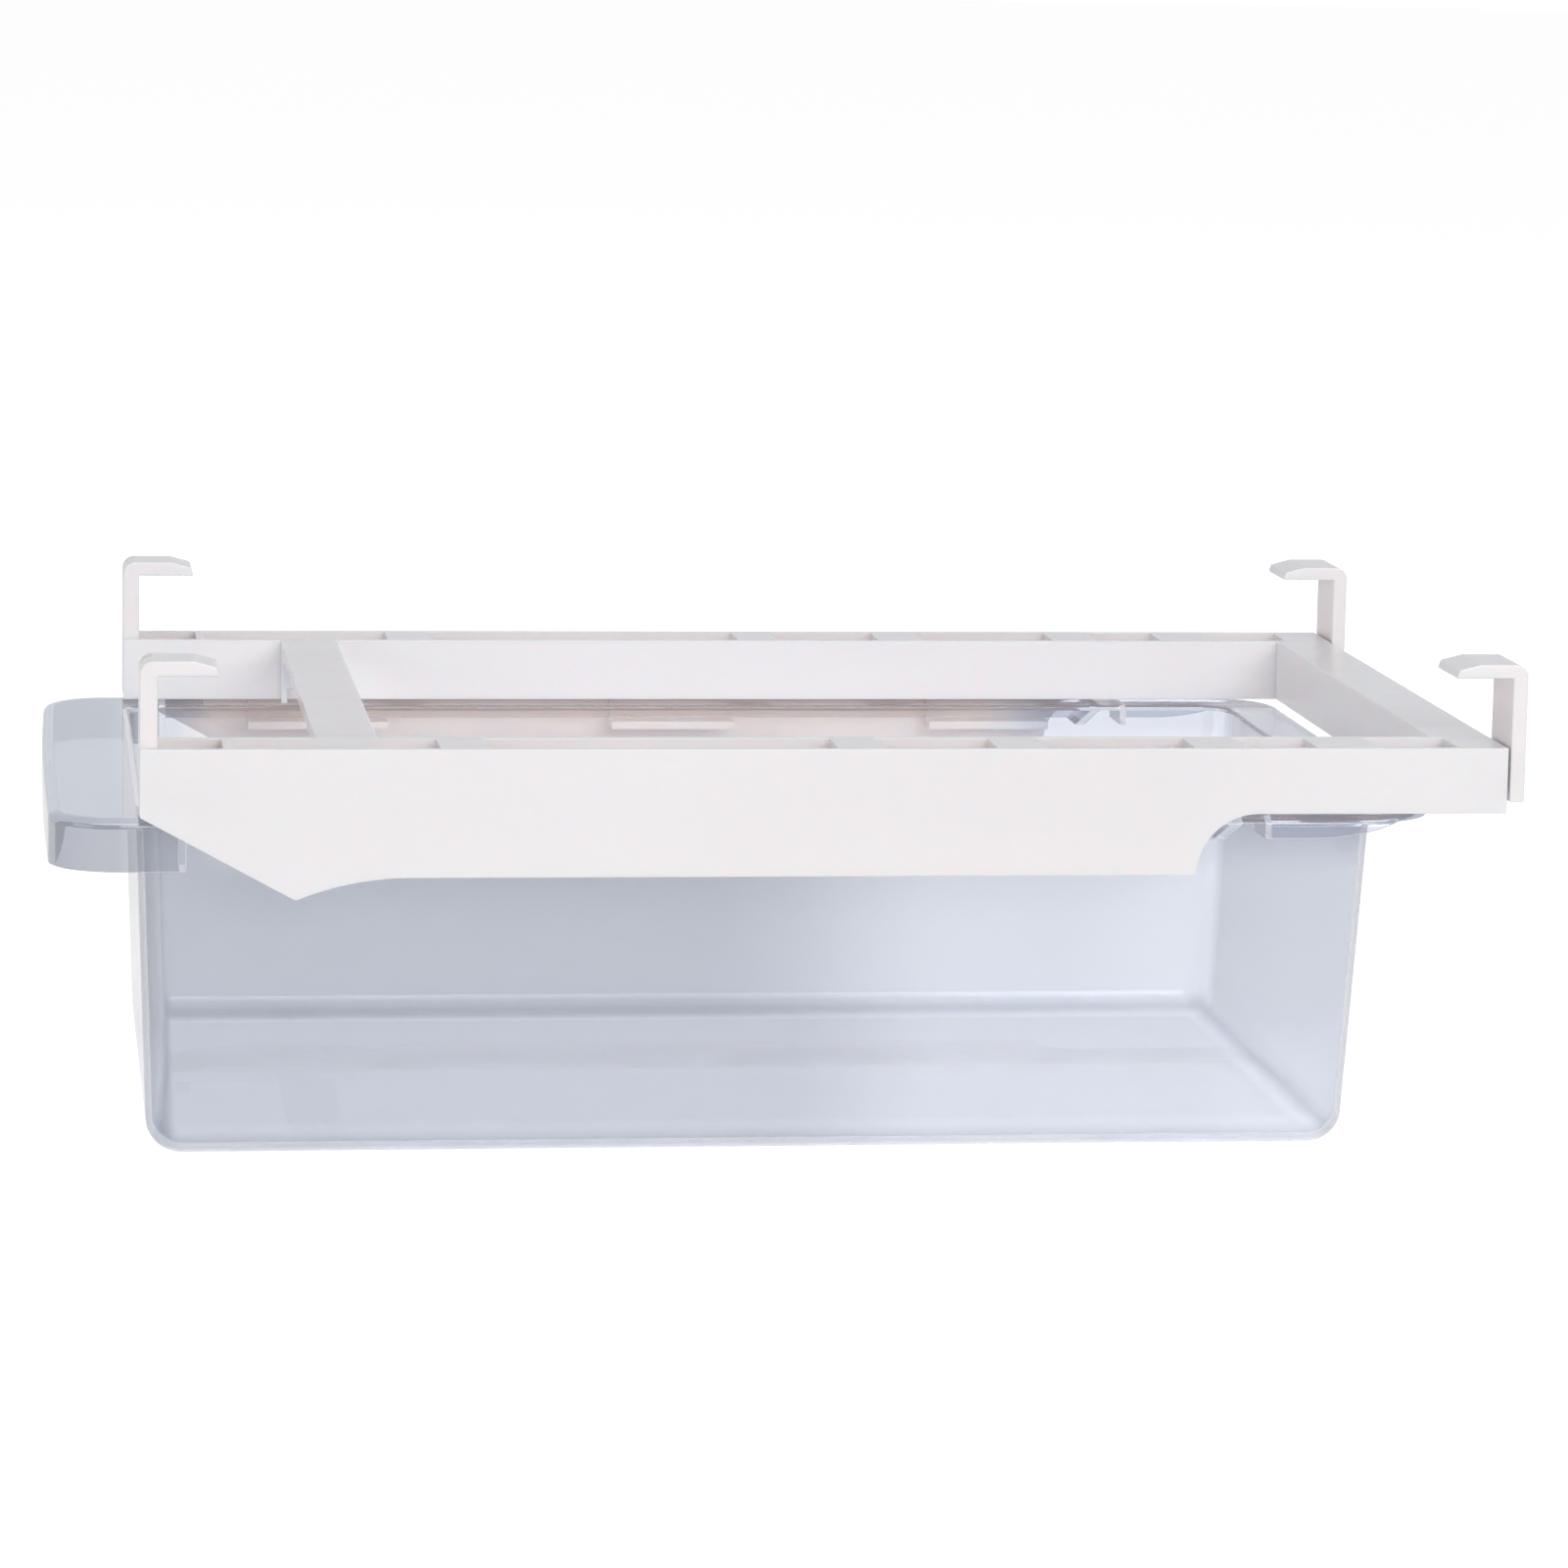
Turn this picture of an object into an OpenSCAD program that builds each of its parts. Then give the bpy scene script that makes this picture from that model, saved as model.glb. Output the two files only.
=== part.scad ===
// Fridge drawer organizer: a clear drawer that slides in a white frame, which
// hangs from a fridge shelf by four hooks.
// X is the width, Y the depth with the front at -Y, and Z is up. The drawer's
// base stands on Z = 0, and the drawer is drawn pulled out a little.

/* [Frame] */
// Length of the side rails, front to back
frame_len = 310; // [300:1:330]
// Width over both side rails
frame_w = 205; // [195:1:230]
// Width of one side rail
rail_w = 19; // [18:0.5:20]
// Height of the rails' inner walls and of the rear crossbar
rail_h = 15; // [14:0.5:16]
// Wall thickness of the frame's mouldings
frame_wall = 2; // [1.6:0.1:2.2]
// Clearance round tongues and feet
play = 0.3; // [0.2:0.05:0.4]

/* [Skirt] */
// Drop of the outer wall's straight lower edge below the rail's top
skirt_h = 29; // [27:0.5:31]
// Drop of the skirt's pointed front corner
tip_h = 34; // [32:0.5:36]
// Distance of the pointed corner from the rail's front end
tip_y = 34.4; // [30:0.2:38]
// Distance from the front end at which the skirt's lower edge becomes straight
skirt_start = 60; // [56:1:66]
// Distance from the front end at which the skirt steps up again
skirt_end = 238.4; // [232:0.2:246]
// Radius that rounds the pointed corner
tip_r = 1.5; // [0.8:0.1:2]

/* [Rail top] */
// Starts of the lands that bridge the top of the rail
land_starts = [66.7, 156.1, 192.4, 237.7, 266, 298.7];
// Lengths of those lands; the last one reaches the rear end
land_lengths = [10.5, 10.4, 11.3, 11.4, 14, 11.3];
// Length of the open cell that takes the front hook's foot
front_cell = 18.4; // [18:0.1:20]

/* [Support tabs] */
// Starts of the tabs that carry the drawer's side lips
tab_starts = [31.7, 124.5, 206.8];
// Lengths of those tabs
tab_lengths = [35.5, 31.5, 31];
// Reach of a tab inward from the skirt
tab_reach = 10; // [8:0.5:12]
// Thickness of a tab
tab_t = 2; // [1.6:0.1:2.4]
// Reach of the upright guide rib at a tab's front end
guide_reach = 2.4; // [1.6:0.1:2.5]
// Thickness of that rib
guide_t = 1.2; // [1:0.1:1.6]

/* [Crossbars] */
// Width of both crossbars, front to back
bar_w = 14; // [12:0.5:16]
// Distance of the front crossbar from the front end
front_bar_y = 39.6; // [38:0.2:42]
// Thickness of the front crossbar's plate
front_bar_t = 3.4; // [3:0.1:4]

/* [Hooks] */
// Gap between a hook's arm and the rail's top, for the shelf
shelf_gap = 16; // [12:0.5:20]
// Thickness of a front hook's arm
front_arm_t = 3.4; // [3:0.1:4]
// Thickness of a front hook's leg
front_leg_t = 4; // [3.5:0.1:4.5]
// Reach of a front hook's arm, from the rail's front end
front_arm_len = 17.6; // [16:0.2:18]
// Thickness of a rear hook's arm
rear_arm_t = 3.2; // [3:0.1:3.5]
// Thickness of a rear hook's leg
rear_leg_t = 3.4; // [3:0.1:3.5]
// Reach of a rear hook's arm, from the leg's rear face
rear_arm_len = 16.7; // [14:0.1:18]
// Drop of a rear hook's leg below the rail's top
rear_leg_drop = 12.4; // [11:0.2:13]
// Gap between a rear hook's leg and the rail's rear end
rear_hook_gap = 0.6; // [0.5:0.1:1]

/* [Drawer] */
// How far the drawer is pulled out
pulled_out = 20.8; // [0.4:0.2:200]
// Height of the drawer, base to rim
drawer_h = 81.2; // [70:0.2:110]
// Width of the tub at its rim
tub_w = 166.8; // [155:0.2:167]
// Draft of the tub's long sides, in degrees
side_draft = 2.4; // [1:0.1:3]
// Length of the tub at its rim
tub_len = 285; // [260:0.5:286]
// Draft of the tub's front, in degrees
front_draft = 1.7; // [1:0.1:3]
// Draft of the tub's back, in degrees
back_draft = 2.7; // [1:0.1:4]
// Radius of the tub's upright corners
tub_r = 9; // [8.5:0.5:10]
// Radius along the tub's base
base_r = 8; // [5:0.5:8]
// Thickness of the tub's walls and rim
tub_wall = 1.6; // [1.4:0.1:2]
// Thickness of the tub's base
base_t = 2; // [1.6:0.1:2.5]
// Radius that rounds the inner edge of the rim
rim_round = 0.8; // [0.4:0.1:1.2]

/* [Drawer lip] */
// Width over the drawer's side lips
lip_w = 195.2; // [193:0.2:196]
// Distance of the tub's front from the lip's front edge
pull_depth = 20.4; // [16:0.2:26]
// Reach of the rear lip behind the tub
rear_reach = 11.8; // [8:0.1:12]
// Bow of the lip's front edge over its width
front_bow = 1; // [0.5:0.1:2]
// Radius of the lip's front corners
front_corner_r = 16; // [12:1:20]
// Radius of the lip's rear corners
rear_corner_r = 18; // [12:1:24]
// Radius of the lip's rounded top edge
lip_round = 2.2; // [1.8:0.1:2.6]
// Height of the lip along the sides
lip_h = 5.2; // [4.6:0.1:5.6]
// Distance from the lip's front edge to where the side lips' lower edge rises
rise_y = 287; // [284:0.5:290]
// Radius of that rise, which ends at the flat rear lip
rise_r = 60; // [50:1:70]
// Height of the lip at the front, the drawer's pull
pull_h = 12; // [10:0.5:12]
// Length of the tall front lip along each side
pull_side = 31.3; // [28:0.1:31.4]
// Distance from the lip's front edge to the notches in the side lips
notch_y = 266.8; // [262:0.2:272]
// Length of the slope at a notch's front
notch_slope = 4; // [3:0.2:5]
// Length of a notch behind its slope
notch_len = 5.2; // [4:0.2:7]

/* [Hidden] */

frame_colour = [0.96, 0.93, 0.92];
clear_colour = [0.72, 0.77, 0.85, 0.5];

rim_gap = 1.3;                           // between the rails and the drawer's rim
rim_z = -rail_h - rim_gap;               // the rim, below the rails' top
top_z = drawer_h - rim_z;                // the rails' top, above the base
back_reach = rear_hook_gap + rear_leg_t;
front_y = (pulled_out - frame_len - back_reach) / 2;

outer_x = frame_w / 2;                   // the rail's outer face
inner_x = outer_x - rail_w;              // the rail's inner face
cell_x = inner_x + frame_wall;           // the channel, from here
cell_w = rail_w - 2 * frame_wall;        // to here plus its width
step_r = skirt_h - rail_h;               // hollow corner behind the skirt
sweep_r = 67;                            // hollow sweep from the tip to the skirt
slant_top = 15.3;                        // where the slanted edge meets the front end
corner_steps = 10;                       // steps round a corner of the tub
base_steps = 8;                          // steps round the tub's base
round_steps = 5;                         // steps round the lip's top edge and the rim

// Everything is drawn from the rail's front end and its top.
module frame_space() { translate([0, front_y, top_z]) children(); }

// A drawing in the side view, made thick across the width.
module side_plate(x, thick) {
    translate([x, 0, 0]) rotate([90, 0, 90]) linear_extrude(thick) children();
}

// A block given by its low corner and its size.
module block(low, size) { translate(low) cube(size); }

// Points along an arc, from the point numbered "first".
function arc(centre, r, from, to, steps, first = 0) =
    [for (i = [first : steps])
        let (a = from + (to - from) * i / steps) centre + r * [cos(a), sin(a)]];
function direction(v) = atan2(v[1], v[0]);

// A right half, and its mirror image run backwards.
function both_halves(half) =
    concat(half, [for (i = [len(half) - 1 : -1 : 0]) [-half[i][0], half[i][1]]]);
function lifted(ring, z) = [for (p = ring) [p[0], p[1], z]];

// A solid through rings of equal length, from the lowest ring up.
module skin(rings) {
    n = len(rings[0]);
    top = (len(rings) - 1) * n;
    polyhedron(
        points = [for (ring = rings) each ring],
        faces = concat(
            [[for (i = [0 : n - 1]) i], [for (i = [n - 1 : -1 : 0]) top + i]],
            [for (k = [0 : n : top - n], i = [0 : n - 1])
                let (j = (i + 1) % n) each [[k + i, k + n + i, k + n + j],
                                            [k + i, k + n + j, k + j]]]),
        convexity = 6);
}

// ---------------------------------------------------------------- side rails

// The rounded tip's centre lies tip_r inside the slanted edge and tip_r outside
// the hollow sweep.
slant_dir = [tip_y, slant_top - tip_h] / norm([tip_y, slant_top - tip_h]);
slant_in = [-slant_dir[1], slant_dir[0]];
sweep_at = [skirt_start, -skirt_h - sweep_r];
tip_base = [0, -slant_top] + tip_r * slant_in - sweep_at;
tip_b = tip_base * slant_dir;
tip_c = tip_base * tip_base - pow(sweep_r + tip_r, 2);
tip_t = -tip_b - sqrt(tip_b * tip_b - tip_c);
tip_at = tip_base + tip_t * slant_dir + sweep_at;

module outer_wall_outline() {
    polygon(concat(
        [[0, 0], [frame_len, 0], [frame_len, -rail_h]],
        arc([skirt_end + step_r, -skirt_h], step_r, 90, 180, 14),
        arc(sweep_at, sweep_r, 90, direction(tip_at - sweep_at), 10),
        arc(tip_at, tip_r, direction(sweep_at - tip_at), direction(-slant_in), 6, 1),
        [[0, -slant_top]]));
}

// Openings in the rail's top, between its lands.
module rail_windows() {
    starts = concat([front_cell + frame_wall],
                    [for (i = [0 : 4]) land_starts[i] + land_lengths[i]]);
    for (i = [0 : 5])
        block([cell_x, starts[i], -frame_wall - 1],
              [cell_w, land_starts[i] - starts[i], frame_wall + 2]);
    block([cell_x, -1, -rail_h + frame_wall],
          [cell_w, front_cell + 1, rail_h]);
}

// Slots in the inner wall for the crossbars' tongues.
tongue = [4.5, 8, 3];                    // reach, width and thickness
tongue_z = -9;
module bar_tongues(x, y, grow) {
    block([x - 1, y + bar_w / 2 - tongue[1] / 2 - grow, tongue_z - grow],
          [tongue[0] + 1, tongue[1] + 2 * grow, tongue[2] + 2 * grow]);
}
rear_bar_y = frame_len - bar_w;

// The slot in the rear end for the rear hook's foot.
hook_foot_w = cell_w - 2 * play;
hook_foot_t = 3;
rear_foot_len = 10;
module rear_foot(grow) {
    block([cell_x + play - grow, frame_len - rear_foot_len, -rear_leg_drop - grow],
          [hook_foot_w + 2 * grow, rear_foot_len + rear_hook_gap + 1,
           hook_foot_t + 2 * grow]);
}

lip_low_z = rim_z - lip_h;
tab_z = lip_low_z - play;                // top of the support tabs

module rail() {
    frame_space() difference() {
        union() {
            side_plate(outer_x - frame_wall, frame_wall) outer_wall_outline();
            block([inner_x, 0, -rail_h], [frame_wall, frame_len, rail_h]);
            // top plate
            block([inner_x, 0, -frame_wall], [rail_w, frame_len, frame_wall]);
            // floor and end wall of the front cell
            block([inner_x, 0, -rail_h],
                  [rail_w, front_cell + frame_wall, frame_wall]);
            block([inner_x, front_cell, -rail_h], [rail_w, frame_wall, rail_h]);
            // rear end wall
            block([inner_x, frame_len - frame_wall, -rail_h],
                  [rail_w, frame_wall, rail_h]);
            for (i = [0 : 2]) {
                block([outer_x - frame_wall - tab_reach, tab_starts[i], tab_z - tab_t],
                      [tab_reach + frame_wall / 2, tab_lengths[i], tab_t]);
                // guide rib at the tab's front end
                block([outer_x - frame_wall - guide_reach, tab_starts[i], tab_z - tab_t],
                      [guide_reach + frame_wall / 2, guide_t, tab_t - tab_z - frame_wall / 2]);
            }
        }
        rail_windows();
        bar_tongues(inner_x, front_bar_y, play);
        bar_tongues(inner_x, rear_bar_y, play);
        rear_foot(play);
    }
}

module right_rail() { color(frame_colour) rail(); }
module left_rail() { color(frame_colour) mirror([1, 0, 0]) rail(); }

// ---------------------------------------------------------------- crossbars

end_plate_t = 1.5;
module both_ends() {
    children();
    mirror([1, 0, 0]) children();
}

// A flat tie with an end plate, a clip leg and a tongue at each end.
end_plate_h = 12;
clip_w = 1.6;
clip_low = -rail_h - 0.9;                // the clip's toe, clear of the rim below
module front_crossbar() {
    color(frame_colour) frame_space() {
        block([-inner_x, front_bar_y, -front_bar_t],
              [2 * inner_x, bar_w, front_bar_t]);
        both_ends() {
            block([inner_x - end_plate_t, front_bar_y, -end_plate_h],
                  [end_plate_t, bar_w, end_plate_h]);
            block([inner_x - end_plate_t, front_bar_y, clip_low],
                  [end_plate_t, clip_w, -clip_low]);
            block([inner_x - end_plate_t, front_bar_y, clip_low],
                  [end_plate_t + 1, clip_w, -rail_h - clip_low]);
            bar_tongues(inner_x, front_bar_y, 0);
        }
    }
}

// A box section, open below, with a tongue at each end.
module rear_crossbar() {
    color(frame_colour) frame_space() {
        difference() {
            block([-inner_x, rear_bar_y, -rail_h], [2 * inner_x, bar_w, rail_h]);
            block([-inner_x + frame_wall, rear_bar_y + frame_wall, -rail_h - 1],
                  [2 * (inner_x - frame_wall), bar_w - 2 * frame_wall,
                   rail_h + 1 - frame_wall]);
        }
        both_ends() bar_tongues(inner_x, rear_bar_y, 0);
    }
}

// ---------------------------------------------------------------- hooks

hook_bend_r = 3;
tip_slope_y = 5.6;                       // length of the sloped end of an arm
tip_slope_z = 1.3;
tip_lean = 0.6;                          // how far the tip's end leans out

// An arm and its leg in the side view, bent over to the right, with the leg's
// outer face on Y = 0 and the bend round outside. The arm's end slopes down to
// its tip.
module hook_outline(leg_t, arm_t, arm_len, leg_low) {
    top = shelf_gap + arm_t;
    difference() {
        polygon([
            [0, leg_low], [0, top], [arm_len - tip_slope_y, top],
            [arm_len - tip_lean, top - tip_slope_z], [arm_len, shelf_gap],
            [leg_t, shelf_gap], [leg_t, leg_low],
        ]);
        translate([-1, top - hook_bend_r]) square([hook_bend_r + 1, hook_bend_r + 1]);
    }
    intersection() {
        translate([hook_bend_r, top - hook_bend_r]) circle(hook_bend_r, $fn = 48);
        translate([0, top - hook_bend_r]) square(hook_bend_r);
    }
}

// Stands in the rail's open front cell, with a foot along the cell's floor.
module front_hook() {
    floor_z = -rail_h + frame_wall;
    frame_space() {
        side_plate(cell_x + play, hook_foot_w)
            hook_outline(front_leg_t, front_arm_t, front_arm_len, floor_z);
        block([cell_x + play, front_leg_t - 1, floor_z],
              [hook_foot_w, front_cell - front_leg_t + 1, hook_foot_t]);
    }
}

// Stands behind the rail, with a foot in the slot of its rear end.
module rear_hook() {
    frame_space() {
        translate([0, frame_len + back_reach, 0]) mirror([0, 1, 0])
            side_plate(inner_x, rail_w)
            hook_outline(rear_leg_t, rear_arm_t, rear_arm_len, -rear_leg_drop);
        rear_foot(0);
    }
}

module front_hook_right() { color(frame_colour) front_hook(); }
module front_hook_left() { color(frame_colour) mirror([1, 0, 0]) front_hook(); }
module rear_hook_right() { color(frame_colour) rear_hook(); }
module rear_hook_left() { color(frame_colour) mirror([1, 0, 0]) rear_hook(); }

// ---------------------------------------------------------------- drawer

// The drawer is drawn from its lip's front edge and its rim.
module drawer_space() { translate([0, front_y - pulled_out, drawer_h]) children(); }

tub_back = pull_depth + tub_len;
lip_back = tub_back + rear_reach;

// The tub's outline at height z, with its upright corners rounded by r and each
// face drawn in by "inset".
function tub_ring(z, inset, r) =
    let (x = tub_w / 2 - inset - r + z * tan(side_draft),
         front = pull_depth + inset + r - z * tan(front_draft),
         back = tub_back - inset - r + z * tan(back_draft))
    both_halves(concat(arc([x, front], r, -90, 0, corner_steps),
                       arc([x, back], r, 0, 90, corner_steps)));

// The tub's drafted body, each face drawn in by "inset", its base raised by
// "low" and its top raised by "over". With a "flare", its faces turn outward
// below the rim along a round edge of that radius.
module tub_body(inset, low, over, flare = 0) {
    base_z = low - drawer_h;
    skin(concat(
        [for (i = [0 : base_steps])
            let (rise = base_r - inset, a = 90 * i / base_steps, in = rise * (1 - sin(a)))
            lifted(tub_ring(base_z, inset + in, tub_r - inset - in),
                   base_z + rise * (1 - cos(a)))],
        [if (flare > 0) for (i = [0 : round_steps])
            let (a = 90 * i / round_steps, out = flare * (1 - cos(a)), z = flare * (sin(a) - 1))
            lifted(tub_ring(z, inset - out, tub_r - inset + out), z)],
        [lifted(tub_ring(over, inset - flare, tub_r - inset + flare), over)]));
}

// The lip's outline from above, drawn in by "inset": a bowed front edge, rounded
// front corners, straight sides and rounded rear corners.
function lip_ring(inset) =
    let (half = lip_w / 2,
         bow_r = (pow(half, 2) + pow(front_bow, 2)) / (2 * front_bow),
         corner_x = half - front_corner_r,
         turn = asin(corner_x / (bow_r - front_corner_r)),
         corner_y = bow_r - (bow_r - front_corner_r) * cos(turn),
         right_half = concat(
             arc([0, bow_r], bow_r - inset, -90, -90 + turn, 6, 1),
             arc([corner_x, corner_y], front_corner_r - inset, -90 + turn, 0, 10, 1),
             arc([half - rear_corner_r, lip_back - rear_corner_r],
                 rear_corner_r - inset, 0, 90, 12)))
    concat([[0, inset]], both_halves(right_half));

// The space inside the lip's outline, "inset" from its face, with a rounded top
// edge of radius "r".
module lip_body(inset, top, low, r) {
    skin(concat(
        [lifted(lip_ring(inset), low)],
        [for (i = [0 : round_steps])
            let (a = 90 * i / round_steps)
            lifted(lip_ring(inset + r * (1 - cos(a))), top - r + r * sin(a))]));
}

// Webs that close the lip's hollow: behind the pull, and before and behind the
// notches in the side lips.
notch_back = notch_y + notch_slope + notch_len;
web_slant_t = tub_wall * norm([notch_slope, lip_h - tub_wall]) / (lip_h - tub_wall);
module lip_webs() {
    side_plate(-lip_w / 2, lip_w) {
        translate([pull_side - tub_wall, -pull_h]) square([tub_wall, pull_h]);
        polygon([[notch_y - web_slant_t, -lip_h], [notch_y, -lip_h],
                 [notch_y + notch_slope, -tub_wall],
                 [notch_y + notch_slope - web_slant_t, -tub_wall]]);
        translate([notch_back, -lip_h]) square([tub_wall, lip_h]);
    }
}

// What is cut away below the side and rear lips, and the side lips' notches. At
// the back the side lips' lower edge rises to the flat rear lip.
rise_angle = acos(1 - (lip_h - tub_wall) / rise_r);
module lip_cuts() {
    block([-lip_w, pull_side, -2 * pull_h], [2 * lip_w, lip_back, 2 * pull_h - lip_h]);
    side_plate(-lip_w, 2 * lip_w)
        polygon([[notch_y, -lip_h - 1], [notch_y, -lip_h],
                 [notch_y + notch_slope, -tub_wall], [notch_back, -tub_wall],
                 [notch_back, -lip_h - 1]]);
    side_plate(-lip_w, 2 * lip_w)
        polygon(concat([[lip_back + 1, -tub_wall], [lip_back + 1, -lip_h - 1],
                        [rise_y, -lip_h - 1]],
                       arc([rise_y, rise_r - lip_h], rise_r, -90, -90 + rise_angle, 8)));
}

module drawer() {
    color(clear_colour) drawer_space() difference() {
        union() {
            difference() {
                lip_body(0, 0, -pull_h, lip_round);
                difference() {
                    lip_body(tub_wall, -tub_wall, -pull_h - 1, lip_round - 1);
                    lip_webs();
                }
                lip_cuts();
            }
            tub_body(0, 0, 0);
        }
        tub_body(tub_wall, base_t, 1, rim_round);
    }
}

drawer();
right_rail();
left_rail();
front_crossbar();
rear_crossbar();
front_hook_right();
front_hook_left();
rear_hook_right();
rear_hook_left();
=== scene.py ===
"""Looks of an under-shelf fridge drawer: a clear drawer in a glossy white frame."""
import math

import bpy
from mathutils import Matrix, Vector


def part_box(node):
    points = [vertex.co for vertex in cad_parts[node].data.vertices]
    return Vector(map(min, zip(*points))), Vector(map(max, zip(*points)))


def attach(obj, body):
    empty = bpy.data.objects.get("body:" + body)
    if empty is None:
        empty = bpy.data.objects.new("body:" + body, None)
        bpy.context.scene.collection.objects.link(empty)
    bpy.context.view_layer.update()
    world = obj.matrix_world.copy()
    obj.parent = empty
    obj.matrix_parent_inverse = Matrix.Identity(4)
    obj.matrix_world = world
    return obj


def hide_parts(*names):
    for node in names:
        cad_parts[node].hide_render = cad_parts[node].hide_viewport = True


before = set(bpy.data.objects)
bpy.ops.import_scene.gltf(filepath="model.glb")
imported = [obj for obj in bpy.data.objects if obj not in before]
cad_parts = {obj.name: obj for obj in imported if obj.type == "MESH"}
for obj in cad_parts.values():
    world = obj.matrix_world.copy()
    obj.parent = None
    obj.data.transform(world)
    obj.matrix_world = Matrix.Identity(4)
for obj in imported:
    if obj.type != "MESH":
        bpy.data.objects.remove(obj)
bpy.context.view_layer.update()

MM = 0.001
drawer_low, drawer_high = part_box("drawer")


# ------------------------------------------------------------------ mesh helpers

def new_object(name, vertices, faces):
    """A mesh object from points in metres and faces of point numbers."""
    mesh = bpy.data.meshes.new(name)
    mesh.from_pydata([tuple(v) for v in vertices], [], faces)
    mesh.validate()
    made = bpy.data.objects.new(name, mesh)
    bpy.context.scene.collection.objects.link(made)
    return made


def arc(centre, radius, start, end, steps, first=0):
    """Points along an arc, from the point numbered first. Angles are in degrees."""
    points = []
    for i in range(first, steps + 1):
        a = math.radians(start + (end - start) * i / steps)
        points.append((centre[0] + radius * math.cos(a), centre[1] + radius * math.sin(a)))
    return points


def both_halves(half):
    """A right half and its mirror image run backwards."""
    return half + [(-x, y) for x, y in reversed(half)]


def skin(name, rings):
    """A closed solid through rings of equal length, from the lowest ring up."""
    count = len(rings[0][0])
    vertices = [(x, y, z) for ring, z in rings for x, y in ring]
    top = (len(rings) - 1) * count
    faces = [list(range(count - 1, -1, -1)), [top + i for i in range(count)]]
    for k in range(len(rings) - 1):
        low, high = k * count, (k + 1) * count
        for i in range(count):
            j = (i + 1) % count
            faces.append([low + i, low + j, high + j, high + i])
    return new_object(name, [Vector(v) * MM for v in vertices], faces)


def prism(name, outline, x_low, x_high):
    """A drawing in the side view (y, z), made thick across the width."""
    count = len(outline)
    vertices = [(x, y, z) for x in (x_low, x_high) for y, z in outline]
    faces = [list(range(count)), [count + i for i in range(count - 1, -1, -1)]]
    for i in range(count):
        j = (i + 1) % count
        faces.append([i, count + i, count + j, j])
    made = new_object(name, [Vector(v) * MM for v in vertices], faces)
    if signed_volume(made.data) < 0:
        made.data.flip_normals()
    return made


def block(name, y_low, y_high, z_low, z_high, half_width):
    """A box that reaches as far to the left as to the right."""
    outline = [(y_low, z_low), (y_high, z_low), (y_high, z_high), (y_low, z_high)]
    return prism(name, outline, -half_width, half_width)


def signed_volume(mesh):
    """Six times the mesh's volume, negative where its faces look inward."""
    mesh.calc_loop_triangles()
    total = 0.0
    for triangle in mesh.loop_triangles:
        a, b, c = (mesh.vertices[i].co for i in triangle.vertices)
        total += a.dot(b.cross(c))
    return total


def boolean(target, cutter, operation):
    """Applies a boolean to target and removes the cutter."""
    modifier = target.modifiers.new("boolean", "BOOLEAN")
    modifier.operation = operation
    modifier.solver = "EXACT"
    modifier.object = cutter
    bake_modifiers(target)
    bpy.data.objects.remove(cutter)


def bake_modifiers(target):
    """Replaces target's mesh by what its modifiers make of it."""
    graph = bpy.context.evaluated_depsgraph_get()
    graph.update()
    mesh = bpy.data.meshes.new_from_object(target.evaluated_get(graph))
    target.modifiers.clear()
    target.data = mesh


# ------------------------------------------------------------------ drawer

# Millimetres, with y from the lip's front edge and z from the rim.
DRAWER_H = (drawer_high.z - drawer_low.z) / MM
LIP_W = (drawer_high.x - drawer_low.x) / MM
LIP_LEN = (drawer_high.y - drawer_low.y) / MM
# The tub: its width at the rim, the lip's reach before and behind it, its wall
# and base, its upright corners, and the roundings of its base and of its rim.
TUB_W = 166.8
PULL_DEPTH = 20.4
REAR_REACH = 11.8
TUB_BACK = LIP_LEN - REAR_REACH
SIDE_DRAFT, FRONT_DRAFT, BACK_DRAFT = (math.tan(math.radians(a)) for a in (2.4, 1.7, 2.7))
WALL, BASE_T = 1.6, 2.0
TUB_R, BASE_R, RIM_ROUND = 9.0, 8.0, 0.8
# The lip's outline from above, and the rounding of its top edge outside and inside.
FRONT_BOW, FRONT_CORNER_R, REAR_CORNER_R = 1.0, 16.0, 18.0
LIP_ROUND, HOLLOW_ROUND = 2.2, 1.2
# The lip from the side: the drop of the side lips and of the pull, the pull's
# length, the notch in the side lips, and the arc that lifts their lower edge.
LIP_H, PULL_H, PULL_SIDE = 5.2, 12.0, 31.3
NOTCH_Y, NOTCH_SLOPE, NOTCH_LEN = 266.8, 4.0, 5.2
RISE_Y, RISE_R = 287.0, 60.0
# How far a cutter reaches past what it cuts.
OVER, FAR_OVER = 1, 10
# Facets of each rounding.
CORNER_STEPS, BASE_STEPS, LIP_STEPS, RIM_STEPS = 16, 14, 8, 5
BOW_STEPS, FRONT_STEPS, REAR_STEPS, RISE_STEPS = 12, 20, 24, 12
# Faces that meet at a larger angle than this keep a sharp edge, in degrees.
SHARP_EDGE = 28


def tub_ring(z, inset, radius):
    """The tub's outline at height z, its corners rounded, each face drawn in."""
    x = TUB_W / 2 - inset - radius + z * SIDE_DRAFT
    front = PULL_DEPTH + inset + radius - z * FRONT_DRAFT
    back = TUB_BACK - inset - radius + z * BACK_DRAFT
    return both_halves(arc((x, front), radius, -90, 0, CORNER_STEPS)
                       + arc((x, back), radius, 0, 90, CORNER_STEPS))


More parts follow.
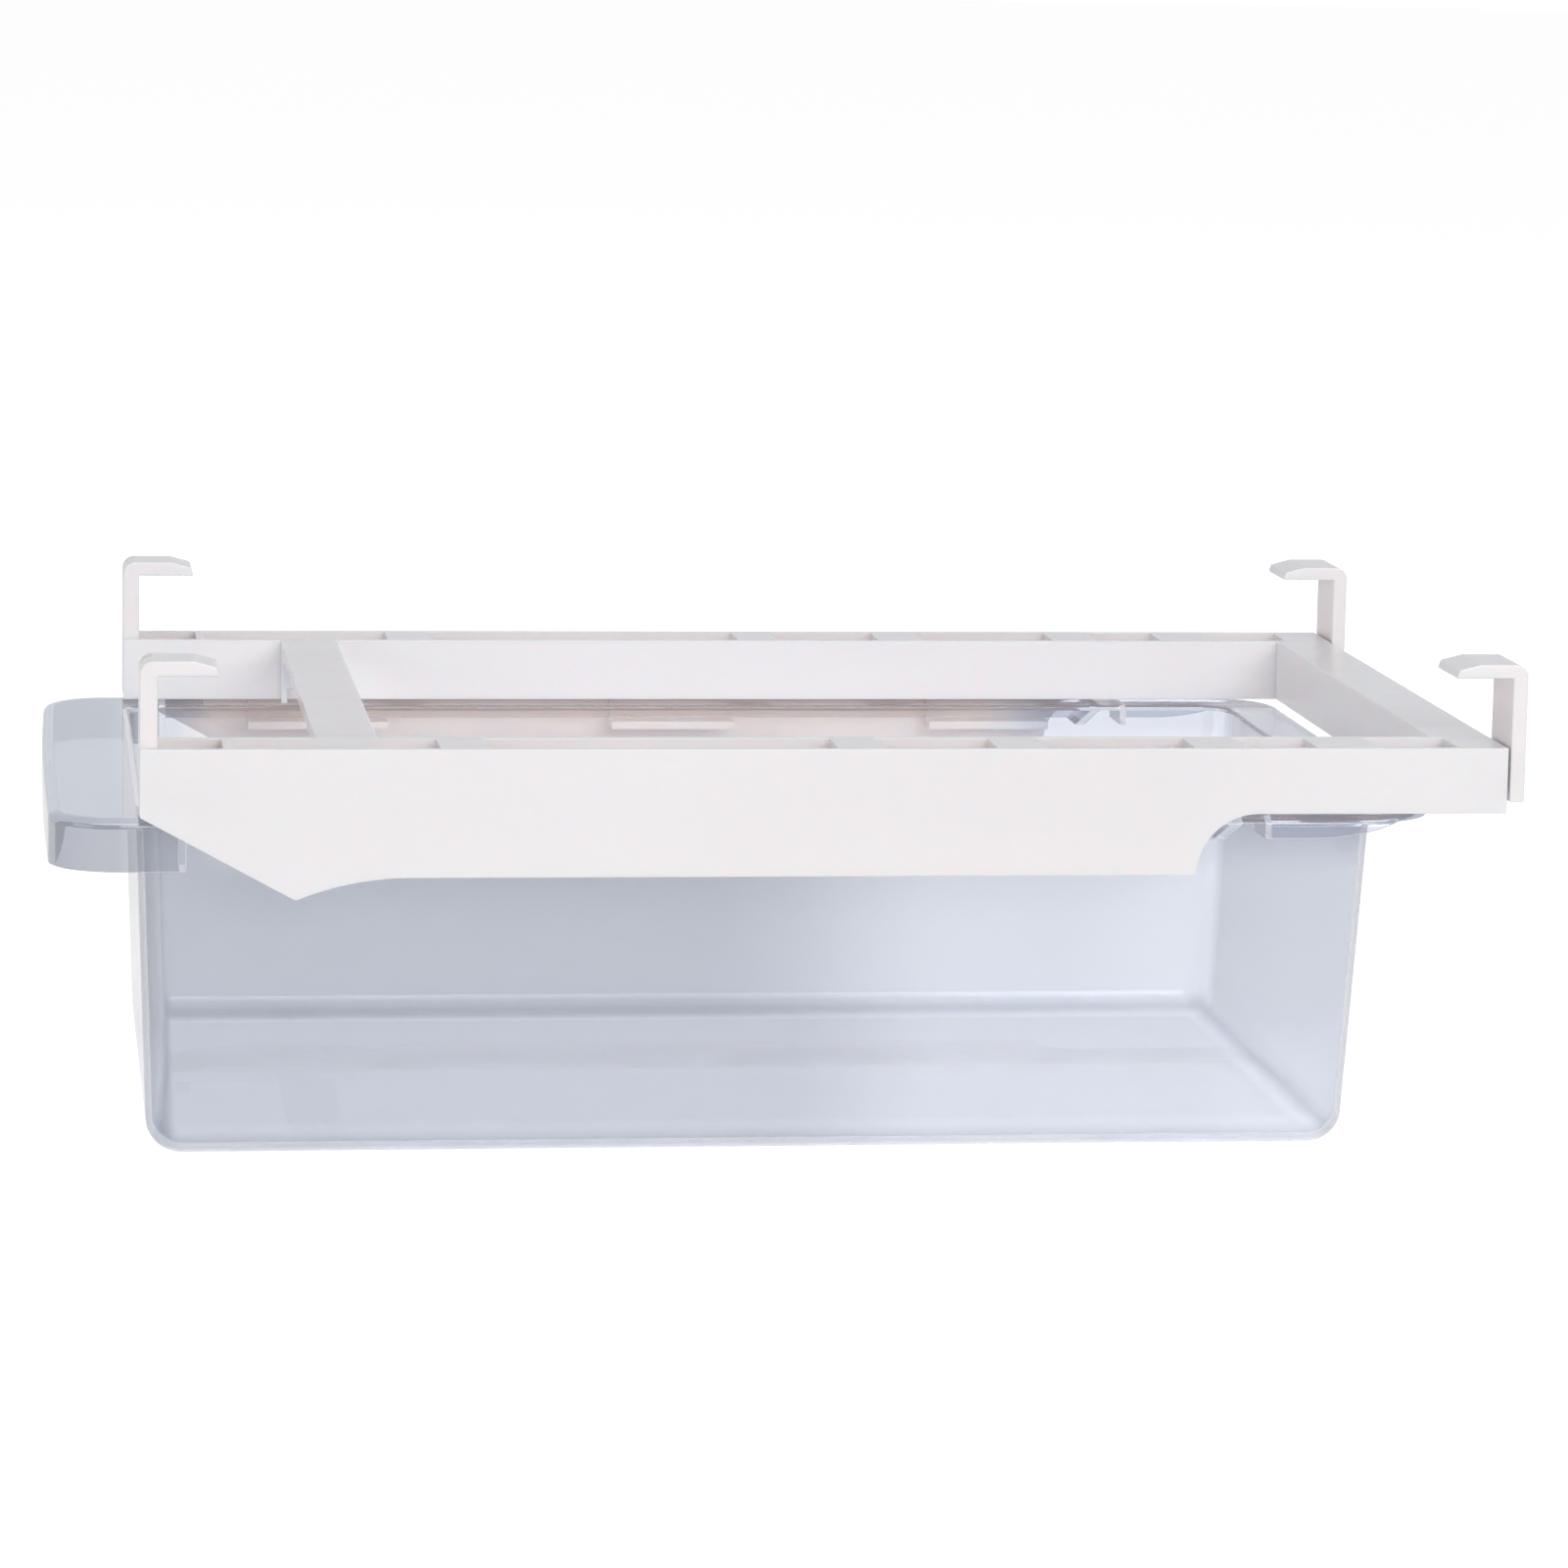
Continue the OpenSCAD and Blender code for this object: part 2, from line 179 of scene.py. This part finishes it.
def tub_body(name, inset, low, over, rim_round=0.0):
    """The tub's drafted body; with a rim_round its top edge flares outward."""
    base_z = low - DRAWER_H
    rise = BASE_R - inset
    rings = []
    for i in range(BASE_STEPS + 1):
        a = math.radians(90 * i / BASE_STEPS)
        shrink = rise * (1 - math.sin(a))
        rings.append((tub_ring(base_z, inset + shrink, TUB_R - inset - shrink),
                      base_z + rise * (1 - math.cos(a))))
    if rim_round:
        for i in range(RIM_STEPS + 1):
            a = math.radians(90 * i / RIM_STEPS)
            out = rim_round * (1 - math.cos(a))
            z = -rim_round * (1 - math.sin(a))
            rings.append((tub_ring(z, inset - out, TUB_R - inset + out), z))
        rings.append((rings[-1][0], over))
    else:
        rings.append((tub_ring(over, inset, TUB_R - inset), over))
    return skin(name, rings)


def lip_ring(inset):
    """The lip's outline from above: a bowed front, rounded front corners,
    straight sides and rounded rear corners."""
    half = LIP_W / 2
    bow_r = (half ** 2 + FRONT_BOW ** 2) / (2 * FRONT_BOW)
    corner_x = half - FRONT_CORNER_R
    turn = math.asin(corner_x / (bow_r - FRONT_CORNER_R))
    corner_y = bow_r - (bow_r - FRONT_CORNER_R) * math.cos(turn)
    turn = math.degrees(turn)
    rear_corner = (half - REAR_CORNER_R, LIP_LEN - REAR_CORNER_R)
    half_ring = (
        arc((0, bow_r), bow_r - inset, -90, -90 + turn, BOW_STEPS, 1)
        + arc((corner_x, corner_y), FRONT_CORNER_R - inset, -90 + turn, 0, FRONT_STEPS, 1)
        + arc(rear_corner, REAR_CORNER_R - inset, 0, 90, REAR_STEPS))
    return [(0.0, inset)] + both_halves(half_ring)


def lip_body(name, inset, top, low, radius):
    """The space inside the lip's outline, with a rounded top edge."""
    rings = [(lip_ring(inset), low)]
    for i in range(LIP_STEPS + 1):
        a = math.radians(90 * i / LIP_STEPS)
        rings.append((lip_ring(inset + radius * (1 - math.cos(a))),
                      top - radius + radius * math.sin(a)))
    return skin(name, rings)


def lip_hollow():
    """The space under the lip's top, with the webs left standing in it."""
    half = LIP_W / 2
    notch_top = NOTCH_Y + NOTCH_SLOPE
    notch_back = notch_top + NOTCH_LEN
    fall = LIP_H - WALL
    slant_t = WALL * math.hypot(NOTCH_SLOPE, fall) / fall
    hollow = lip_body("hollow", WALL, -WALL, -PULL_H - OVER, HOLLOW_ROUND)
    webs = [
        block("web", PULL_SIDE - WALL, PULL_SIDE, -PULL_H - 2 * OVER, OVER, half),
        prism("web", [(NOTCH_Y - slant_t, -LIP_H), (NOTCH_Y, -LIP_H),
                      (notch_top, -WALL), (notch_top - slant_t, -WALL)], -half, half),
        block("web", notch_back, notch_back + WALL, -LIP_H, OVER, half),
    ]
    for web in webs:
        boolean(hollow, web, "DIFFERENCE")
    return hollow


def lip_cutters():
    """What is taken from the lip in the side view: the space under the side lips,
    their notch, and the space under the arc that rises to the rear lip."""
    far = LIP_LEN + FAR_OVER
    notch_top = NOTCH_Y + NOTCH_SLOPE
    notch_back = notch_top + NOTCH_LEN
    rise_angle = math.degrees(math.acos(1 - (LIP_H - WALL) / RISE_R))
    rise = arc((RISE_Y, RISE_R - LIP_H), RISE_R, -90, -90 + rise_angle, RISE_STEPS)
    return [
        block("under", PULL_SIDE, far, -PULL_H - 5 * OVER, -LIP_H, LIP_W),
        prism("notch", [(NOTCH_Y, -LIP_H - OVER), (NOTCH_Y, -LIP_H), (notch_top, -WALL),
                        (notch_back, -WALL), (notch_back, -LIP_H - OVER)], -LIP_W, LIP_W),
        prism("rise", [(far, -WALL), (far, -LIP_H - OVER), (RISE_Y, -LIP_H - OVER)] + rise,
              -LIP_W, LIP_W),
    ]


def make_drawer():
    """The clear moulding in one piece: a tub with a lip wrapped round its rim."""
    made = lip_body("drawer_clear", 0, 0, -PULL_H, LIP_ROUND)
    boolean(made, lip_hollow(), "DIFFERENCE")
    for cutter in lip_cutters():
        boolean(made, cutter, "DIFFERENCE")
    boolean(made, tub_body("tub", 0, 0, 0), "UNION")
    boolean(made, tub_body("inside", WALL, BASE_T, OVER, RIM_ROUND), "DIFFERENCE")
    made.data.transform(Matrix.Translation((0, drawer_low.y, drawer_high.z)))
    return made


def smooth(made):
    """Smooth shading that keeps the flat faces flat and the sharp edges sharp."""
    mesh = made.data
    mesh.polygons.foreach_set("use_smooth", [True] * len(mesh.polygons))
    mesh.set_sharp_from_angle(angle=math.radians(SHARP_EDGE))
    weighted = made.modifiers.new("weighted", "WEIGHTED_NORMAL")
    weighted.keep_sharp = True
    weighted.weight = 90


# ------------------------------------------------------------------ node helpers

def shader_tree(name):
    """A new material, its node tree, its main shader and its output."""
    made = bpy.data.materials.new(name)
    made.use_nodes = True
    tree = made.node_tree
    return made, tree, tree.nodes["Principled BSDF"], tree.nodes["Material Output"]


def noise(tree, scale, detail):
    """Noise that is fixed to the piece. A larger scale gives smaller spots."""
    coords = tree.nodes.new("ShaderNodeTexCoord")
    made = tree.nodes.new("ShaderNodeTexNoise")
    made.inputs["Scale"].default_value = scale
    made.inputs["Detail"].default_value = detail
    tree.links.new(coords.outputs["Object"], made.inputs["Vector"])
    return made.outputs["Fac"]


def spread(tree, source, low, high, start=0.3, end=0.7):
    """Maps the values from start to end to the range low to high. Noise lies
    mostly between 0.3 and 0.7."""
    made = tree.nodes.new("ShaderNodeMapRange")
    made.inputs["From Min"].default_value = start
    made.inputs["From Max"].default_value = end
    made.inputs["To Min"].default_value = low
    made.inputs["To Max"].default_value = high
    tree.links.new(source, made.inputs["Value"])
    return made.outputs["Result"]


def rising(tree, source, zone):
    """0 before the zone (its two ends), 1 past it."""
    return spread(tree, source, 0, 1, *zone)


def falling(tree, source, zone):
    """1 before the zone (its two ends), 0 past it."""
    return spread(tree, source, 1, 0, *zone)


def math_node(tree, operation, first, second):
    """A Math node between two sockets or numbers."""
    made = tree.nodes.new("ShaderNodeMath")
    made.operation = operation
    for value, socket in zip((first, second), made.inputs):
        if isinstance(value, float):
            socket.default_value = value
        else:
            tree.links.new(value, socket)
    return made.outputs[0]


def product(tree, first, *others):
    for other in others:
        first = math_node(tree, "MULTIPLY", first, other)
    return first


def largest(tree, first, *others):
    for other in others:
        first = math_node(tree, "MAXIMUM", first, other)
    return first


def parts(tree, vector):
    """The x, y and z of a vector."""
    made = tree.nodes.new("ShaderNodeSeparateXYZ")
    tree.links.new(vector, made.inputs[0])
    return made.outputs


def colour_between(tree, source, first, second, blend="MIX"):
    """Blends from the first colour, or another node's colour, to the second."""
    made = tree.nodes.new("ShaderNodeMix")
    made.data_type = "RGBA"
    made.blend_type = blend
    factor, colour_a, colour_b = (made.inputs[i] for i in (0, 6, 7))
    if isinstance(first, tuple):
        colour_a.default_value = (*first, 1)
    else:
        tree.links.new(first, colour_a)
    colour_b.default_value = (*second, 1)
    tree.links.new(source, factor)
    return made.outputs[2]


def bumps(tree, source, strength, distance, on_top_of=None):
    """A bumped normal, laid on another bumped normal where one is given."""
    made = tree.nodes.new("ShaderNodeBump")
    made.inputs["Strength"].default_value = strength
    made.inputs["Distance"].default_value = distance
    tree.links.new(source, made.inputs["Height"])
    if on_top_of:
        tree.links.new(on_top_of, made.inputs["Normal"])
    return made.outputs["Normal"]


def transparent(tree, colour):
    made = tree.nodes.new("ShaderNodeBsdfTransparent")
    made.inputs["Color"].default_value = (*colour, 1)
    return made.outputs["BSDF"]


def by_ray(tree, kind, others, these):
    """The shader "these" for rays of one kind, and "others" for the rest."""
    path = tree.nodes.new("ShaderNodeLightPath")
    made = tree.nodes.new("ShaderNodeMixShader")
    tree.links.new(path.outputs[kind], made.inputs["Fac"])
    tree.links.new(others, made.inputs[1])
    tree.links.new(these, made.inputs[2])
    return made.outputs["Shader"]


def ray_is(tree, *kinds):
    """1 for rays of the named kinds, 0 for the others."""
    path = tree.nodes.new("ShaderNodeLightPath")
    return largest(tree, *(path.outputs[kind] for kind in kinds))


# ------------------------------------------------------------------ white plastic

WHITE_DEEP, WHITE_PALE = (0.90, 0.854, 0.868), (0.925, 0.886, 0.898)
WHITE_ROUGHNESS = (0.16, 0.24)
WHITE_IOR = 1.5
# Light goes a little way into the plastic: the share that does, and how deep.
SOFT_SHARE, SOFT_RADIUS, SOFT_DEPTH = 0.55, (1.0, 0.55, 0.45), 0.003


def white_plastic():
    """Glossy moulded white plastic, faintly warm, with slow waves and a fine grain."""
    made, tree, shader, _ = shader_tree("white_moulded")
    flow = noise(tree, scale=9, detail=2)
    waves = noise(tree, scale=45, detail=2)
    grain = noise(tree, scale=1400, detail=2)
    colour = colour_between(tree, spread(tree, flow, 0, 1), WHITE_DEEP, WHITE_PALE)
    tree.links.new(colour, shader.inputs["Base Color"])
    tree.links.new(spread(tree, waves, *WHITE_ROUGHNESS), shader.inputs["Roughness"])
    wavy = bumps(tree, waves, strength=0.12, distance=0.0006)
    grained = bumps(tree, grain, strength=0.03, distance=0.00005, on_top_of=wavy)
    tree.links.new(grained, shader.inputs["Normal"])
    shader.inputs["IOR"].default_value = WHITE_IOR
    shader.inputs["Subsurface Weight"].default_value = SOFT_SHARE
    shader.inputs["Subsurface Radius"].default_value = SOFT_RADIUS
    shader.inputs["Subsurface Scale"].default_value = SOFT_DEPTH
    return made


# ------------------------------------------------------------------ clear plastic

CLEAR_ROUGHNESS = (0.015, 0.035)
CLEAR_IOR = 1.49
# The rest of the light is scattered, which gives a slight haze.
CLEAR_SHARE = 0.92

# The plastic's tint along the drawer, with painted shade that darkens it towards the front,
# from the lip's front edge to its back, in metres.
TINTS_WITH_PAINTED_SHADE = [(-0.165, (0.43, 0.448, 0.497)), (-0.152, (0.43, 0.448, 0.497)),
         (-0.142, (0.645, 0.665, 0.708)), (0.000, (0.635, 0.655, 0.697)),
         (0.040, (0.77, 0.79, 0.833)), (0.090, (0.775, 0.795, 0.838)),
         (0.125, (0.84, 0.858, 0.90))]
# The cloudiness in the tint: its colour and its greatest share.
CLOUD_TINT, CLOUD_SHARE = (0.45, 0.47, 0.52), 0.06
# The rim beside the frame, with a painted reflection of the white frame that makes it pale and
# warm, and the rim behind the frame, with painted shade that makes it darker and bluer: their
# colours and their place in metres.
RIM_PAINTED_REFLECTION, REAR_RIM_PAINTED_SHADE = (0.88, 0.84, 0.81), (0.65, 0.675, 0.745)
RIM_HEIGHT = (drawer_high.z - 16 * MM, drawer_high.z - 5 * MM)
RIM_START, RIM_END, REAR_RIM_START = (-0.134, -0.124), (0.070, 0.085), (0.080, 0.090)
# Painted light that makes the base paler, and painted shade along the base's rounded edge.
BASE_PAINTED_LIGHT, BASE_EDGE_PAINTED_SHADE = (0.82, 0.83, 0.855), (0.72, 0.73, 0.76)
BASE_HEIGHT = (drawer_low.z + 4 * MM, drawer_low.z + 9 * MM)
# Painted shade in the rounded corners, told by the largest part of the normal.
CORNER_PAINTED_SHADE, ROUNDED, LEVEL = (0.94, 0.945, 0.955), (0.72, 0.98), (0.9, 1.0)
# Painted shade on upright walls seen edge on, told by how far they face away.
EDGE_ON_PAINTED_SHADE, EDGE_ON = (0.55, 0.57, 0.62), (0.3, 0.75)
# What a mirrored ray and a lamp's light keep at each surface that they cross.
MIRRORED_PASS, LAMP_PASS = (0.95, 0.95, 0.96), (0.90, 0.90, 0.92)


def tint_and_painted_shade_along(tree, y):
    """The ramp of the tint along the drawer, with its painted shade."""
    start, end = TINTS_WITH_PAINTED_SHADE[0][0], TINTS_WITH_PAINTED_SHADE[-1][0]
    ramp = tree.nodes.new("ShaderNodeValToRGB")
    ramp.color_ramp.interpolation = "EASE"
    stops = ramp.color_ramp.elements
    while len(stops) < len(TINTS_WITH_PAINTED_SHADE):
        stops.new(0.5)
    for stop, (at, colour) in zip(stops, TINTS_WITH_PAINTED_SHADE):
        stop.position = (at - start) / (end - start)
        stop.color = (*colour, 1)
    tree.links.new(rising(tree, y, (start, end)), ramp.inputs[0])
    return ramp.outputs[0]


def clear_tint_and_painted_light(tree):
    """A blue-grey tint with painted light and shade in it: painted shade that deepens it
    towards the front, a painted reflection of the frame that leaves almost no tint, pale
    and warm, in the rim beside the frame, painted shade that makes the rim behind the
    frame darker and bluer, painted light on the base, and painted shade in the rounded
    corners, along the base's rounded edge and where upright walls are seen edge on."""
    coords = tree.nodes.new("ShaderNodeTexCoord")
    _, y, z = parts(tree, coords.outputs["Object"])
    size = tree.nodes.new("ShaderNodeVectorMath")
    size.operation = "ABSOLUTE"
    tree.links.new(coords.outputs["Normal"], size.inputs[0])
    nx, ny, nz = parts(tree, size.outputs[0])

    cloud = spread(tree, noise(tree, scale=14, detail=2), 0, CLOUD_SHARE)
    # The tint along the drawer carries painted shade, darker towards the front.
    tint = colour_between(tree, cloud, tint_and_painted_shade_along(tree, y), CLOUD_TINT)

    # Painted reflection of the white frame: the rim beside it is made pale and warm.
    high = rising(tree, z, RIM_HEIGHT)
    rim = product(tree, high, rising(tree, y, RIM_START), falling(tree, y, RIM_END))
    tint = colour_between(tree, rim, tint, RIM_PAINTED_REFLECTION)
    # Painted shade: the rim behind the frame is made darker and bluer.
    rear_rim = product(tree, high, rising(tree, y, REAR_RIM_START))
    tint = colour_between(tree, rear_rim, tint, REAR_RIM_PAINTED_SHADE)

    # Painted shade: the rounded corners are made darker.
    corner = falling(tree, largest(tree, nx, ny, nz), ROUNDED)
    tint = colour_between(tree, corner, tint, CORNER_PAINTED_SHADE, "MULTIPLY")
    # Painted shade: the base's rounded edge is made darker.
    low = falling(tree, z, BASE_HEIGHT)
    tint = colour_between(tree, product(tree, low, corner), tint, BASE_EDGE_PAINTED_SHADE, "MULTIPLY")
    # Painted light: the level base is made paler.
    base = product(tree, low, rising(tree, nz, LEVEL))
    tint = colour_between(tree, base, tint, BASE_PAINTED_LIGHT)

    # Painted shade: upright walls seen edge on are made darker.
    facing = tree.nodes.new("ShaderNodeLayerWeight")
    edge_on = product(tree, rising(tree, facing.outputs["Facing"], EDGE_ON),
                      math_node(tree, "SUBTRACT", 1.0, nz))
    return colour_between(tree, edge_on, tint, EDGE_ON_PAINTED_SHADE, "MULTIPLY")


def clear_plastic():
    """Clear plastic with a faint blue-grey tint that carries painted light and shade, and
    haze. Mirrored rays and the lamps' light go straight through it, and so don't get
    caught in its walls."""
    made, tree, shader, output = shader_tree("clear_moulded")
    waves = noise(tree, scale=60, detail=1)
    tree.links.new(clear_tint_and_painted_light(tree), shader.inputs["Base Color"])
    tree.links.new(spread(tree, waves, *CLEAR_ROUGHNESS), shader.inputs["Roughness"])
    wavy = bumps(tree, waves, strength=0.03, distance=0.0003)
    tree.links.new(wavy, shader.inputs["Normal"])
    shader.inputs["IOR"].default_value = CLEAR_IOR
    shader.inputs["Transmission Weight"].default_value = CLEAR_SHARE
    clear = shader.outputs["BSDF"]
    # A diffuse ray counts as a mirrored ray too, so it gets the plastic back.
    seen = by_ray(tree, "Is Reflection Ray", clear, transparent(tree, MIRRORED_PASS))
    seen = by_ray(tree, "Is Diffuse Ray", seen, clear)
    seen = by_ray(tree, "Is Shadow Ray", seen, transparent(tree, LAMP_PASS))
    tree.links.new(seen, output.inputs["Surface"])
    return made


# ------------------------------------------------------------------ pieces

# The white parts' edges: the bevel, and the angle from which an edge gets one.
EDGE_R, EDGE_STEPS, EDGE_ANGLE = 0.35 * MM, 3, 32
# Points this close (in metres) are one, and faces this level (in degrees) are one.
SAME_POINT, SAME_PLANE = 1e-6, 0.3


def dress_drawer():
    made = make_drawer()
    made.data.materials.clear()
    made.data.materials.append(clear_plastic())
    smooth(made)
    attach(made, "drawer")
    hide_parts("drawer")


def round_edges(node):
    """Joins the triangles of each flat face and bevels the sharp edges."""
    weld = node.modifiers.new("weld", "WELD")
    weld.merge_threshold = SAME_POINT
    flat = node.modifiers.new("flat", "DECIMATE")
    flat.decimate_type = "DISSOLVE"
    flat.angle_limit = math.radians(SAME_PLANE)
    edges = node.modifiers.new("edges", "BEVEL")
    edges.width = EDGE_R
    edges.segments = EDGE_STEPS
    edges.limit_method = "ANGLE"
    edges.angle_limit = math.radians(EDGE_ANGLE)
    edges.use_clamp_overlap = True
    edges.harden_normals = False


def dress_frame():
    white = white_plastic()
    for name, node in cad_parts.items():
        if name != "drawer":
            for slot in node.material_slots:
                slot.material = white
            round_edges(node)


# ------------------------------------------------------------------ stage

# Half the floor's width, and how far it lies under the drawer.
FLOOR_REACH, FLOOR_GAP = 12.0, 0.4 * MM
FLOOR_COLOUR = (0.86, 0.86, 0.87)
# What the floor adds to its own light: seen straight or through plastic, and mirrored.
FLOOR_SEEN, FLOOR_MIRRORED = 0.72, 0.40
# The world as a light, mirrored, and seen straight or through plastic.
WORLD_LIGHT, WORLD_MIRRORED, WORLD_SEEN = 0.305, 0.88, 1.03
WORLD_WHITE, WORLD_SHEEN = (1.0, 1.0, 1.0), (0.90, 0.94, 1.0)

# The photograph's view, fitted to the rails' and hooks' corners. Angles are in
# degrees, and the lens and sensor are in millimetres.
CAMERA_PLACE = (1.4004, -0.1757, 0.2928)
AZIMUTH, ELEVATION, ROLL = 7.58, 8.82, 1.07
LENS, SENSOR_W = 135.67, 36.0

# The lamps aim at the object's middle.
MIDDLE = (0, 0, 0.06)


def make_floor():
    """Plain pale paper that looks white and still takes the object's shadow."""
    x, z = FLOOR_REACH, drawer_low.z - FLOOR_GAP
    made = new_object("floor", [(-x, -x, z), (x, -x, z), (x, x, z), (-x, x, z)], [[0, 1, 2, 3]])
    material, tree, shader, output = shader_tree("floor_paper")
    tree.nodes.remove(shader)
    paper = tree.nodes.new("ShaderNodeBsdfDiffuse")
    paper.inputs["Color"].default_value = (*FLOOR_COLOUR, 1)
    mirrored = product(tree, FLOOR_MIRRORED, ray_is(tree, "Is Glossy Ray"))
    seen = product(tree, FLOOR_SEEN, ray_is(tree, "Is Camera Ray", "Is Transmission Ray"))
    glow = tree.nodes.new("ShaderNodeEmission")
    tree.links.new(largest(tree, mirrored, seen), glow.inputs["Strength"])
    both = tree.nodes.new("ShaderNodeAddShader")
    tree.links.new(paper.outputs[0], both.inputs[0])
    tree.links.new(glow.outputs[0], both.inputs[1])
    tree.links.new(both.outputs[0], output.inputs["Surface"])
    made.data.materials.append(material)


def make_world():
    """A dim even light that is white where it is seen."""
    world = bpy.data.worlds.new("studio")
    bpy.context.scene.world = world
    world.use_nodes = True
    tree = world.node_tree
    background = tree.nodes["Background"]
    glossy = ray_is(tree, "Is Glossy Ray")
    only_glossy = math_node(tree, "SUBTRACT", glossy, ray_is(tree, "Is Transmission Ray"))
    tree.links.new(colour_between(tree, only_glossy, WORLD_WHITE, WORLD_SHEEN),
                   background.inputs["Color"])
    unseen = spread(tree, glossy, WORLD_LIGHT, WORLD_MIRRORED, 0, 1)
    seen = product(tree, WORLD_SEEN, ray_is(tree, "Is Camera Ray", "Is Transmission Ray"))
    tree.links.new(largest(tree, unseen, seen), background.inputs["Strength"])


def softbox(name, place, width, height, power, mirrored=True):
    """A lamp with a lit rectangle, in metres and watts."""
    light = bpy.data.lights.new(name, "AREA")
    light.shape = "RECTANGLE"
    light.size = width
    light.size_y = height
    light.energy = power
    made = bpy.data.objects.new(name, light)
    made.location = place
    aim = Vector(MIDDLE) - Vector(place)
    made.rotation_euler = aim.to_track_quat("-Z", "Y").to_euler()
    made.visible_camera = False
    made.visible_glossy = mirrored
    bpy.context.scene.collection.objects.link(made)


def make_lights():
    softbox("key", (2.05, 0.55, 0.80), width=1.5, height=0.9, power=22)
    softbox("fill", (0.9, -1.7, 0.4), width=1.2, height=0.8, power=8)
    softbox("top", (0.1, 0.1, 1.6), width=1.4, height=1.4, power=3.5)
    softbox("back", (-1.9, 0.9, 0.25), width=1.5, height=0.4, power=12, mirrored=False)


def make_camera():
    """The photograph's camera, from its place, three angles and lens."""
    azimuth, elevation, roll = (math.radians(a) for a in (AZIMUTH, ELEVATION, ROLL))
    forward = Vector((-math.cos(elevation) * math.cos(azimuth),
                      math.cos(elevation) * math.sin(azimuth), -math.sin(elevation)))
    right = forward.cross(Vector((0, 0, 1))).normalized()
    up = right.cross(forward)
    right, up = (right * math.cos(roll) + up * math.sin(roll),
                 up * math.cos(roll) - right * math.sin(roll))
    data = bpy.data.cameras.new("camera")
    data.sensor_width = SENSOR_W
    data.lens = LENS
    made = bpy.data.objects.new("camera", data)
    bpy.context.scene.collection.objects.link(made)
    turn = Matrix((right, up, -forward)).transposed().to_4x4()
    made.matrix_world = Matrix.Translation(CAMERA_PLACE) @ turn
    bpy.context.scene.camera = made


dress_drawer()
dress_frame()
make_floor()
make_world()
make_lights()
make_camera()
bpy.context.scene.view_settings.view_transform = "Standard"
